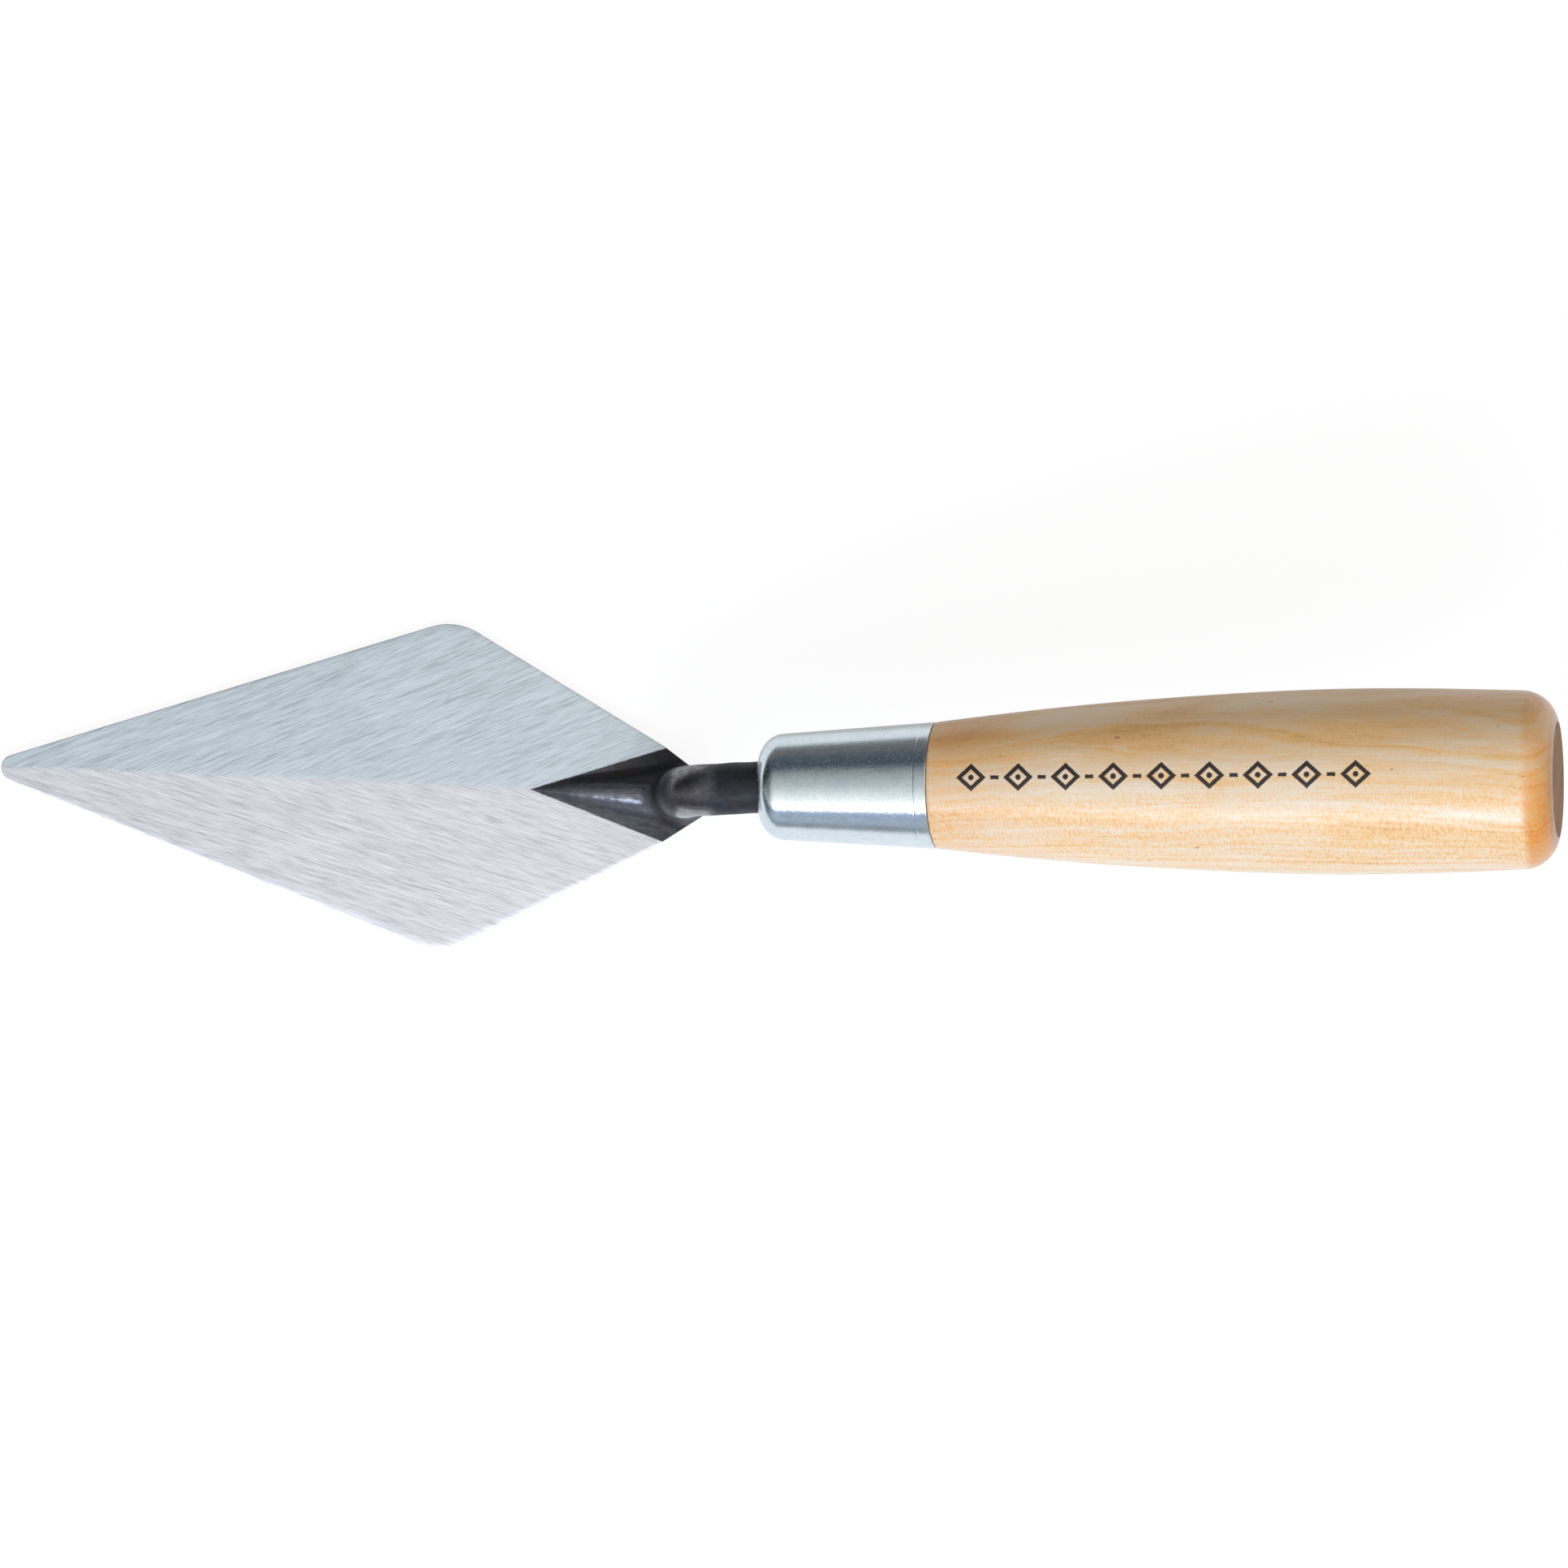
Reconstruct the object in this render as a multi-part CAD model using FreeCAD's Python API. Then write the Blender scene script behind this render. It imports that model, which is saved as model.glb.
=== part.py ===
# Pointing trowel: a one-piece forging (blade, neck, shank and tang), a drawn
# steel ferrule, a turned wooden handle and the resin that beds the tang in it.
#
# Millimetres. The blade's flat sole lies on z = 0 and its tip points along -X.
# The handle's axis lies in the plane y = 0 and climbs towards the butt at +X.
# The origin is on the sole, beside the foot of the neck.

import FreeCAD
import Part

import math
import os

from FreeCAD import Placement, Rotation, Vector

X_AXIS = Vector(1, 0, 0)
Y_AXIS = Vector(0, 1, 0)
Z_AXIS = Vector(0, 0, 1)
FULL_TURN = 360

# ---------------------------------------------------------------- dimensions

# Blade: a kite, seen from above, that is ground thinner from its middle line
# to its edges and from its heel to its tip.
tip_half_angle = 19.4
heel_half_angle = 29.0
half_width_to_sharp_corner = 30.6
neck_to_sharp_corner = 43.7
tip_radius = 2.4
corner_radius = 10.5
ridge_thickness_at_heel = 2.5
ridge_thickness_at_tip = 1.4
edge_thickness = 1.0

# Heel: the forged end of the kite closes in more steeply beside the neck.
heel_pinch_to_neck = 4.5
heel_pinch_half_angle = 35.0
heel_radius = 4.5

# Spine: the half-round rib that carries the neck's load out into the blade.
# It swells from a point to its middle station and on to its full radius.
spine_length = 28.8
spine_middle_to_neck = 15.9
spine_middle_radius = 3.1
spine_end_to_neck = 3.0
spine_radius = 4.55

# Neck and shank: one round bar, bent once, with a foot that spreads.
bar_radius = 4.65
bend_radius = 5.5
foot_flare_radius = 6.8
foot_flare_height = 5.5

# Set of the handle against the blade. The neck of this hand-forged tool leans
# a little to one side, so the shank, the foot and the blade are slightly off
# the handle's line. On a perfectly true trowel the last three are zero.
handle_lift_angle = 11.8
neck_foot_along = -0.4
neck_foot_side = -1.5
shank_yaw_angle = 2.5
blade_yaw_angle = -2.94

# Handle axis: where it meets the front of the ferrule.
ferrule_front = Vector(13.95, 0, 28.0)

# Ferrule: a drawn cup, tapered, with a rounded nose and a hole for the shank.
ferrule_length = 31.8
ferrule_wall = 0.9
ferrule_nose_radius = 4.25
ferrule_taper = 0.064
ferrule_hole_clearance = 0.1
mouth_clearance = 0.3
nose_flat_width = 0.55

# Handle: distances run along its axis from the front of the ferrule.
handle_end = 142.7
grip_shoulder_radius = 11.3
grip_waist = (52.9, 13.55)
grip_swell = (76.0, 15.28)
grip_belly = (107.0, 16.4)
grip_end_radius = 15.5
shoulder_chamfer = 0.3
butt_corner_radius = 6.2

# Tang: a square spike, tapered, in a round tapered bore.
tang_start = 4.0
tang_end = 84.0
tang_width_at_start = 5.6
tang_width_at_end = 2.6
tang_point_length = 5.0
tang_point_width = 1.2
bore_margin = 0.15
bore_end_gap = 2.0

# ------------------------------------------------------------- derived sizes

sharp_corner_x = -neck_to_sharp_corner
sharp_heel_x = sharp_corner_x + half_width_to_sharp_corner / math.tan(math.radians(heel_half_angle))
sharp_tip_x = sharp_corner_x - half_width_to_sharp_corner / math.tan(math.radians(tip_half_angle))
pinch_half_width = (sharp_heel_x + heel_pinch_to_neck) * math.tan(math.radians(heel_half_angle))
heel_end_x = pinch_half_width / math.tan(math.radians(heel_pinch_half_angle)) - heel_pinch_to_neck
shank_hole_radius = bar_radius + ferrule_hole_clearance
bore_mouth_radius = bar_radius + mouth_clearance
ferrule_nose_flat = shank_hole_radius + nose_flat_width
taper_angle = math.atan(ferrule_taper)

# Local frames. The handle's frame has its origin at the front of the ferrule
# and its X axis along the handle. The blade's frame stands on the sole at the
# foot of the neck, with its X axis along the blade.
handle_frame = Placement(ferrule_front, Rotation(Y_AXIS, -handle_lift_angle))
blade_frame = Placement(Vector(0, neck_foot_side, 0), Rotation(Z_AXIS, blade_yaw_angle))
lift = math.radians(handle_lift_angle)


# ------------------------------------------------------------------- helpers


def edges_from(points):
    """Straight edges joining the points, closed back to the first."""
    closed = points + points[:1]
    return [Part.makeLine(a, b) for a, b in zip(closed, closed[1:])]


def turned(edges, low=0.0, turn=FULL_TURN):
    """The solid that a closed half-section in the XZ plane makes about the X axis."""
    face = Part.Face(Part.Wire(edges))
    return face.revolve(Vector(low, 0, 0), X_AXIS, turn)


def arc(start, middle, end):
    return Part.Arc(start, middle, end).toShape()


def section_point(along, radius):
    """A point of a half-section: distance along the axis, and radius."""
    return Vector(along, 0, radius)


def vertical_edges(solid):
    return [e for e in solid.Edges if abs(e.tangentAt(e.FirstParameter).z) > 0.999]


# --------------------------------------------------------------------- blade


def kite_prism(height):
    """The blade's outline with its corners rounded, raised from the sole."""
    outline = [
        Vector(sharp_tip_x, 0, 0),
        Vector(sharp_corner_x, -half_width_to_sharp_corner, 0),
        Vector(-heel_pinch_to_neck, -pinch_half_width, 0),
        Vector(heel_end_x, 0, 0),
        Vector(-heel_pinch_to_neck, pinch_half_width, 0),
        Vector(sharp_corner_x, half_width_to_sharp_corner, 0),
    ]
    prism = Part.Face(Part.Wire(edges_from(outline))).extrude(Vector(0, 0, height))
    for radius, at_x in [
        (tip_radius, sharp_tip_x),
        (corner_radius, sharp_corner_x),
        (heel_radius, heel_end_x),
    ]:
        corners = [e for e in vertical_edges(prism) if abs(e.CenterOfMass.x - at_x) < 0.01]
        prism = prism.makeFillet(radius, corners)
    return prism


def space_above(heel_point, tip_point, corner_point):
    """A block whose underside is the plane through three points."""
    normal = (tip_point - heel_point).cross(corner_point - heel_point).normalize()
    if normal.z < 0:
        normal = normal * -1
    side = 400.0
    block = Part.makeBox(side, side, side / 4, Vector(-side / 2, -side / 2, 0))
    block.Placement = Placement(heel_point, Rotation(Z_AXIS, normal))
    return block


def blade_plate():
    """The ground plate: two flat faces that fall from a middle ridge."""
    plate = kite_prism(ridge_thickness_at_heel + 1)
    heel_point = Vector(sharp_heel_x, 0, ridge_thickness_at_heel)
    tip_point = Vector(sharp_tip_x, 0, ridge_thickness_at_tip)
    for side in (-1, 1):
        corner_point = Vector(sharp_corner_x, side * half_width_to_sharp_corner, edge_thickness)
        plate = plate.cut(space_above(heel_point, tip_point, corner_point))
    return plate


def blade_spine():
    """A half-round rib that swells from a point at its front to the neck."""
    front = section_point(-spine_length, 0)
    middle = section_point(-spine_middle_to_neck, spine_middle_radius)
    back = section_point(-spine_end_to_neck, spine_radius)
    back_centre = section_point(-spine_end_to_neck, 0)
    rib = turned([arc(front, middle, back), Part.makeLine(back, back_centre), Part.makeLine(back_centre, front)])
    rib.translate(Vector(0, 0, ridge_thickness_at_heel - 0.2))
    return rib


def foot_flare():
    """The neck spreads where it is forged out of the plate."""
    foot = Vector(neck_foot_along, 0, 0)
    return Part.makeCone(foot_flare_radius, bar_radius, foot_flare_height, foot, Z_AXIS)


# -------------------------------------------------- neck, shank and the tang


def neck_and_shank():
    """The round bar from below the sole, through its bend, to the tang.

    It is made in the plane y = 0, swung about the front of the ferrule, then
    turned about the handle's axis until its foot stands on the blade's line.
    """
    below_sole = 3.0
    foot = Vector(neck_foot_along, 0, -below_sole)
    bend_run = bend_radius * (1 - math.sin(lift))
    bend_end_x = neck_foot_along + bend_run
    bend_end_z = ferrule_front.z - (ferrule_front.x - bend_end_x) * math.tan(lift)
    bend_start_z = bend_end_z - bend_radius * math.cos(lift)
    neck = Part.makeCylinder(bar_radius, bend_start_z + below_sole, foot, Z_AXIS)

    bend_start = Vector(neck_foot_along, 0, bend_start_z)
    section = Part.Face(Part.Wire(Part.makeCircle(bar_radius, bend_start, Z_AXIS)))
    bend_axis = bend_start + Vector(bend_radius, 0, 0)
    bend = section.revolve(bend_axis, Y_AXIS, 90 - handle_lift_angle)

    bend_end = Vector(bend_end_x, 0, bend_end_z)
    shank_end = handle_frame.multVec(Vector(tang_start, 0, 0))
    shank_line = shank_end - bend_end
    shank = Part.makeCylinder(bar_radius, shank_line.Length, bend_end, shank_line)

    bar = neck.multiFuse([bend, shank])
    bar.rotate(ferrule_front, Z_AXIS, shank_yaw_angle)
    bar.rotate(ferrule_front, shank_line, neck_lean_angle())
    return bar


def neck_lean_angle():
    """The turn about the handle's axis that brings the foot to its side."""
    foot_run = ferrule_front.x - neck_foot_along
    foot_drop = (ferrule_front.z - foot_run * math.tan(lift)) * math.cos(lift)
    still_to_go = neck_foot_side + foot_run * math.sin(math.radians(shank_yaw_angle))
    return math.degrees(math.asin(still_to_go / foot_drop))


def square_section(along, width):
    half = width / 2
    corners = [
        Vector(along, -half, -half),
        Vector(along, half, -half),
        Vector(along, half, half),
        Vector(along, -half, half),
    ]
    return Part.Wire(edges_from(corners))


def tang():
    """The square spike inside the handle, in the handle's frame."""
    point_start = tang_end - tang_point_length
    body = Part.makeLoft(
        [square_section(tang_start, tang_width_at_start), square_section(point_start, tang_width_at_end)], True
    )
    point = Part.makeLoft(
        [square_section(point_start, tang_width_at_end), square_section(tang_end, tang_point_width)], True
    )
    return body.fuse(point).removeSplitter()


def forging():
    """Blade, spine, neck, shank and tang: one piece of steel."""
    height = foot_flare_height + ridge_thickness_at_heel
    flare = foot_flare().common(kite_prism(height))
    on_blade = blade_plate().multiFuse([blade_spine(), flare])
    on_blade.Placement = blade_frame
    spike = tang()
    spike.Placement = handle_frame
    steel = on_blade.multiFuse([neck_and_shank(), spike])
    side = 400.0
    above_sole = Part.makeBox(side, side, side, Vector(-side / 2, -side / 2, 0))
    return steel.common(above_sole).removeSplitter()


# ------------------------------------------------------------------- ferrule


def ferrule_outline(inset):
    """Edges of the cup's skin, inset from its outside, from the hole to the rim."""
    nose = ferrule_nose_radius - inset
    centre = section_point(ferrule_nose_radius, ferrule_nose_flat)
    sweep = math.pi / 2 - taper_angle

    def on_nose(angle):
        return centre + section_point(-math.cos(angle), math.sin(angle)) * nose

    hole_edge = section_point(inset, shank_hole_radius)
    nose_start, nose_end = on_nose(0), on_nose(sweep)
    rim = nose_end + section_point(1, ferrule_taper) * (ferrule_length - nose_end.x)
    return [
        Part.makeLine(hole_edge, nose_start),
        arc(nose_start, on_nose(sweep / 2), nose_end),
        Part.makeLine(nose_end, rim),
    ]


def first_point(edges):
    return edges[0].Vertexes[0].Point


def last_point(edges):
    return edges[-1].Vertexes[-1].Point


def ferrule():
    outside = ferrule_outline(0)
    inside = ferrule_outline(ferrule_wall)
    rim = Part.makeLine(last_point(outside), last_point(inside))
    hole = Part.makeLine(first_point(inside), first_point(outside))
    return turned(outside + [rim] + inside[::-1] + [hole])


# -------------------------------------------------------------------- handle


def bore_radius(along):
    """The bore just clears the corners of the tang."""
    share = (along - tang_start) / (tang_end - tang_point_length - tang_start)
    width = tang_width_at_start + (tang_width_at_end - tang_width_at_start) * share
    return width / math.sqrt(2) + bore_margin


def tang_bore():
    """The tapered part of the hole in the wood."""
    end = tang_end + bore_end_gap
    return Part.makeCone(
        bore_radius(tang_start), bore_radius(end), end - tang_start, Vector(tang_start, 0, 0), X_AXIS
    )


def bore():
    """The whole hole in the wood: straight for the shank, then tapered."""
    mouth_start = Vector(ferrule_wall, 0, 0)
    mouth = Part.makeCylinder(bore_mouth_radius, tang_start - ferrule_wall, mouth_start, X_AXIS)
    return mouth.fuse(tang_bore())


def grip_outline():
    """Edges of the wood that shows, from the ferrule's rim to the flat butt."""
    curve = Part.BSplineCurve()
    stations = [(ferrule_length, grip_shoulder_radius), grip_waist, grip_swell, grip_belly]
    stations.append((handle_end, grip_end_radius))
    curve.interpolate([section_point(along, radius) for along, radius in stations])
    grip = curve.toShape()
    butt = Part.makeLine(section_point(handle_end, grip_end_radius), section_point(handle_end, 0))
    return [grip, butt]


def handle():
    """Turned wood: a tenon that fills the ferrule, and the grip."""
    tenon = ferrule_outline(ferrule_wall)
    grip = grip_outline()
    shoulder = Part.makeLine(last_point(tenon), first_point(grip))
    tenon_face = Part.makeLine(section_point(ferrule_wall, 0), first_point(tenon))
    axis = Part.makeLine(section_point(handle_end, 0), section_point(ferrule_wall, 0))
    wood = turned(tenon + [shoulder] + grip + [axis, tenon_face])
    wood = wood.makeFillet(butt_corner_radius, rims_at(wood, handle_end, grip_end_radius))
    wood = wood.makeChamfer(shoulder_chamfer, rims_at(wood, ferrule_length, grip_shoulder_radius))
    return wood.cut(bore())


def rims_at(solid, along, radius):
    """The round edges of a turned solid at a place along its axis."""
    rims = []
    for edge in solid.Edges:
        box = edge.BoundBox
        if box.XLength < 0.01 and abs(box.XMin - along) < 0.01 and abs(box.ZMax - radius) < 0.2:
            rims.append(edge)
    return rims


def bore_resin(steel):
    """Cured resin that fills the tapered bore around the tang."""
    cast = tang_bore()
    cast.Placement = handle_frame
    return cast.cut(steel)


# -------------------------------------------------------------------- export


def in_handle_frame(shape):
    shape.Placement = handle_frame.multiply(shape.Placement)
    return shape


def main():
    steel = forging()
    wood = in_handle_frame(handle())
    parts = {
        "blade_forging": steel,
        "ferrule": in_handle_frame(ferrule()),
        "handle": wood,
        "tang_resin": bore_resin(steel),
    }
    os.makedirs("parts", exist_ok=True)
    for name, shape in parts.items():
        print(
            name,
            "valid" if shape.isValid() else "NOT VALID",
            "solids", len(shape.Solids),
            "volume %.1f" % shape.Volume,
            shape.BoundBox,
        )
        shape.exportStep(os.path.join("parts", name + ".step"))


main()
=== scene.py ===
import math

import bpy
import numpy as np
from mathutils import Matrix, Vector


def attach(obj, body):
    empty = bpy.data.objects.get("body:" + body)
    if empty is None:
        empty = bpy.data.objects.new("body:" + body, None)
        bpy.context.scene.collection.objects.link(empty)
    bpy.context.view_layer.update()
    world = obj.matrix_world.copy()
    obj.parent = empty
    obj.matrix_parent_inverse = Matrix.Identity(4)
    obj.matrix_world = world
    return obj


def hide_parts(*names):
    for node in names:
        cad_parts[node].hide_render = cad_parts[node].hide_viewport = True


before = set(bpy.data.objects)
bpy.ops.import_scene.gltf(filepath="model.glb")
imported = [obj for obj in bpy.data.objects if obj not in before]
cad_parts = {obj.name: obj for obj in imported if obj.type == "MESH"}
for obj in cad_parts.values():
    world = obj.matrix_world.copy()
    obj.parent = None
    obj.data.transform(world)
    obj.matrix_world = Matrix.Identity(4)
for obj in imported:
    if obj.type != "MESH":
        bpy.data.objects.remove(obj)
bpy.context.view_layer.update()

# Everything below is worked out in millimetres and turned into metres when a
# mesh is made. The blade's own frame has its X axis along the blade, from tip
# to heel, and stands on the sole at the neck. The handle's own frame starts
# at the front of the ferrule and has its X axis along the handle.
MM = 0.001

# How the blade and the handle are set against each other.
BLADE_YAW = math.radians(-2.94)
BLADE_SIDE = -1.5
BLADE_PLACE = np.array([0.0, BLADE_SIDE, 0.0])
LIFT = math.radians(11.8)
FERRULE_FRONT = np.array([13.95, 0.0, 28.0])

# The kite: half angles at its tip, heel and pinched end, and its sharp corner.
TIP_HALF = math.radians(19.4)
HEEL_HALF = math.radians(29.0)
PINCH_HALF = math.radians(35.0)
CORNER_X, CORNER_Y = -43.7, 30.6
TIP_X = CORNER_X - CORNER_Y / math.tan(TIP_HALF)
HEEL_X = CORNER_X + CORNER_Y / math.tan(HEEL_HALF)
PINCH_X = -4.5
PINCH_Y = (HEEL_X - PINCH_X) * math.tan(HEEL_HALF)
HEEL_END_X = PINCH_X + PINCH_Y / math.tan(PINCH_HALF)
TIP_R, CORNER_R, HEEL_R = 2.4, 10.5, 4.5
# Thickness of the plate on its ridge, at either end, and at its corners.
RIDGE_HEEL, RIDGE_TIP, EDGE = 2.5, 1.4, 1.0

# The spine, and the round bar of the neck and shank.
SPINE_LENGTH, SPINE_R, SPINE_AXIS_Z = 28.8, 4.7, 2.2
BAR_R, BEND_R = 4.65, 5.5
FOOT_X = -0.4
SHANK_YAW = math.radians(2.5)
SHANK_RUN = FERRULE_FRONT[0] - FOOT_X
NECK_RISE = (FERRULE_FRONT[2] - SHANK_RUN * math.tan(LIFT)) * math.cos(LIFT)
NECK_LEAN = math.asin((BLADE_SIDE + SHANK_RUN * math.sin(SHANK_YAW)) / NECK_RISE)
SHANK_END = 4.0

# The cup: its length, the size and middle of its nose, its slope and its wall.
FERRULE_LENGTH, NOSE_R, NOSE_AXIS_R = 31.8, 4.25, 5.3
FERRULE_SLOPE, FERRULE_WALL = 0.064, 0.9
# Where the tang and the handle end, and how the butt is rounded.
TANG_END, HANDLE_END, BUTT_R = 84.0, 142.7, 6.2


# ----------------------------------------------------------------- meshes


def add_mesh(name, verts, faces, smooth=True, flat_faces=()):
    mesh = bpy.data.meshes.new(name)
    points = [tuple(v) for v in np.asarray(verts, float) * MM]
    mesh.from_pydata(points, [], [tuple(int(i) for i in f) for f in faces])
    flags = np.full(len(mesh.polygons), smooth)
    for i in flat_faces:
        flags[i] = False
    mesh.polygons.foreach_set("use_smooth", flags)
    mesh.validate()
    mesh.update()
    obj = bpy.data.objects.new(name, mesh)
    bpy.context.scene.collection.objects.link(obj)
    return obj


def from_blade(verts):
    """Points of the blade's own frame, in the frame of the whole tool."""
    x, y, z = np.asarray(verts, float).T
    c, s = math.cos(BLADE_YAW), math.sin(BLADE_YAW)
    return np.stack([c * x - s * y, s * x + c * y, z], 1) + BLADE_PLACE


def from_handle(verts):
    """Points of the handle's own frame, in the frame of the whole tool."""
    x, y, z = np.asarray(verts, float).T
    c, s = math.cos(LIFT), math.sin(LIFT)
    return np.stack([c * x - s * z, y, s * x + c * z], 1) + FERRULE_FRONT


def lathe(name, profile, segments):
    """A closed solid turned about the X axis. The profile starts and ends on
    the axis, or else it is a closed loop."""
    verts, rings = [], []
    for t, r in profile:
        if r < 1e-9:
            rings.append([len(verts)] * segments)
            verts.append((t, 0, 0))
        else:
            rings.append(list(range(len(verts), len(verts) + segments)))
            for k in range(segments):
                a = 2 * math.pi * k / segments
                verts.append((t, r * math.cos(a), r * math.sin(a)))
    loops = list(zip(rings, rings[1:]))
    if profile[0][1] > 1e-9:
        loops.append((rings[-1], rings[0]))
    faces = []
    for a, b in loops:
        for k in range(segments):
            j = (k + 1) % segments
            quad = [a[k], a[j], b[j], b[k]]
            quad = [v for i, v in enumerate(quad) if v not in quad[:i]]
            if len(quad) > 2:
                faces.append(quad)
    return add_mesh(name, from_handle(verts), faces)


def resample(points, step):
    """Points along straight runs no further apart than the step."""
    out = [points[0]]
    for (x0, y0), (x1, y1) in zip(points, points[1:]):
        n = max(1, int(math.ceil(math.hypot(x1 - x0, y1 - y0) / step)))
        out += [(x0 + (x1 - x0) * i / n, y0 + (y1 - y0) * i / n) for i in range(1, n + 1)]
    return out


# ------------------------------------------------------------ blade plate


def round_corner(before, corner, after, radius, n):
    """The arc that rounds a corner of a polygon."""
    b, c, a = (np.array(p, float) for p in (before, corner, after))
    u, v = (b - c) / np.linalg.norm(b - c), (a - c) / np.linalg.norm(a - c)
    half = math.acos(np.clip(u @ v, -1, 1)) / 2
    mid = (u + v) / np.linalg.norm(u + v)
    centre = c + mid * radius / math.sin(half)
    p, q = c + u * radius / math.tan(half), c + v * radius / math.tan(half)
    a0, a1 = math.atan2(*(p - centre)[::-1]), math.atan2(*(q - centre)[::-1])
    turn = (a1 - a0 + math.pi) % (2 * math.pi) - math.pi
    angles = [a0 + turn * i / n for i in range(n + 1)]
    return [tuple(centre + radius * np.array([math.cos(a), math.sin(a)])) for a in angles]


def upper_outline():
    """Half of the kite's outline, from the tip over the +Y corner to the heel."""
    tip, corner = (TIP_X, 0), (CORNER_X, CORNER_Y)
    pinch, heel = (PINCH_X, PINCH_Y), (HEEL_END_X, 0)
    at_tip = round_corner((CORNER_X, -CORNER_Y), tip, corner, TIP_R, 24)[12:]
    at_corner = round_corner(tip, corner, pinch, CORNER_R, 24)
    at_heel = round_corner(pinch, heel, (PINCH_X, -PINCH_Y), HEEL_R, 24)[:13]
    points = resample(at_tip + at_corner + [pinch] + at_heel, 0.8)
    return np.array(points)


def thickness(x, y):
    """The plate's top: two planes that meet in a ridge over the X axis."""
    share = (x - TIP_X) / (HEEL_X - TIP_X)
    ridge = RIDGE_TIP + (RIDGE_HEEL - RIDGE_TIP) * share
    corner_share = (CORNER_X - TIP_X) / (HEEL_X - TIP_X)
    corner_ridge = RIDGE_TIP + (RIDGE_HEEL - RIDGE_TIP) * corner_share
    return ridge - np.abs(y) * (corner_ridge - EDGE) / CORNER_Y


def ridge_wander(x):
    """The two grinds don't meet in a perfectly straight line."""
    fade = np.clip((x - TIP_X) / 8, 0, 1) * np.clip((-30 - x) / 10, 0, 1)
    bow = 0.45 * np.sin(np.clip((x - TIP_X) / (-SPINE_LENGTH - TIP_X), 0, 1) * math.pi)
    waves = 0.16 * np.sin(x * 0.31) + 0.10 * np.sin(x * 0.83 + 1) + 0.06 * np.sin(x * 1.9 + 2)
    return fade * (bow + waves)


def blade_plate():
    """The ground kite, with a rounded edge and a flat sole."""
    up = upper_outline()
    tangent = np.gradient(up, axis=0)
    normal = np.stack([-tangent[:, 1], tangent[:, 0]], 1)
    normal /= np.linalg.norm(normal, axis=1)[:, None]
    normal[0], normal[-1] = (-1, 0), (1, 0)
    rim = 0.13
    inner = up - normal * rim
    inner[0, 1] = inner[-1, 1] = 0
    n, rows = len(up), 22
    verts, faces = [], []

    # The ground top: columns across the blade, each with its middle on the ridge.
    grid = []
    steps = np.linspace(1, -1, 2 * rows + 1)
    for i in range(n):
        x, half = inner[i]
        if i in (0, n - 1):
            grid.append([len(verts)] * (2 * rows + 1))
            verts.append((x, 0, thickness(x, 0)))
            continue
        grid.append(list(range(len(verts), len(verts) + 2 * rows + 1)))
        for s in steps:
            wander = ridge_wander(x) * (1 - s * s)
            verts.append((x, s * half + wander, thickness(x, s * half)))
    for a, b in zip(grid, grid[1:]):
        for k in range(2 * rows):
            quad = [a[k], a[k + 1], b[k + 1], b[k]]
            quad = [v for i, v in enumerate(quad) if v not in quad[:i]]
            faces.append(quad)

    # The edge: rings of one loop round the whole outline, tip first.
    loop_p = np.vstack([up, (up * (1, -1))[-2:0:-1]])
    loop_n = np.vstack([normal, (normal * (1, -1))[-2:0:-1]])
    ring = [grid[i][0] for i in range(n)] + [grid[i][-1] for i in range(n - 2, 0, -1)]
    rings = [ring]
    for angle in (22.5, 45, 67.5, 90):
        a = math.radians(angle)
        at = loop_p - loop_n * rim * (1 - math.sin(a))
        top = thickness(*(loop_p - loop_n * rim).T) - rim * (1 - math.cos(a))
        rings.append(list(range(len(verts), len(verts) + len(at))))
        verts += [(x, y, z) for (x, y), z in zip(at, top)]
    for inset, z in ((0.0, 0.12), (0.035, 0.035), (0.12, 0.0)):
        at = loop_p - loop_n * inset
        rings.append(list(range(len(verts), len(verts) + len(at))))
        verts += [(x, y, z) for x, y in at]
    for a, b in zip(rings, rings[1:]):
        for k in range(len(a)):
            j = (k + 1) % len(a)
            faces.append([a[k], a[j], b[j], b[k]])

    # The flat sole, in strips from the +Y side of the outline to the -Y side.
    sole = rings[-1]
    first = len(faces)
    for i in range(n - 1):
        strip = [sole[i], sole[i + 1], sole[-i - 1], sole[-i]]
        faces.append([v for k, v in enumerate(strip) if v not in strip[:k]])
    obj = add_mesh("blade_plate", from_blade(verts), faces, flat_faces=range(first, len(faces)))
    obj.data.set_sharp_from_angle(angle=math.radians(50))
    return obj


# ------------------------------------------- spine, neck and shank, blended


def smooth_min(a, b, k):
    """The lesser of two distances, blended over k where they are close."""
    h = np.clip(0.5 + 0.5 * (b - a) / k, 0, 1)
    return b + (a - b) * h - k * h * (1 - h)


def rotate(p, axis, angle):
    """Points turned about an axis through the origin."""
    axis = np.asarray(axis, float) / np.linalg.norm(axis)
    c, s = math.cos(angle), math.sin(angle)
    side = np.cross(np.broadcast_to(axis, p.shape), p)
    return p * c + side * s + np.outer(p @ axis, axis) * (1 - c)


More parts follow.
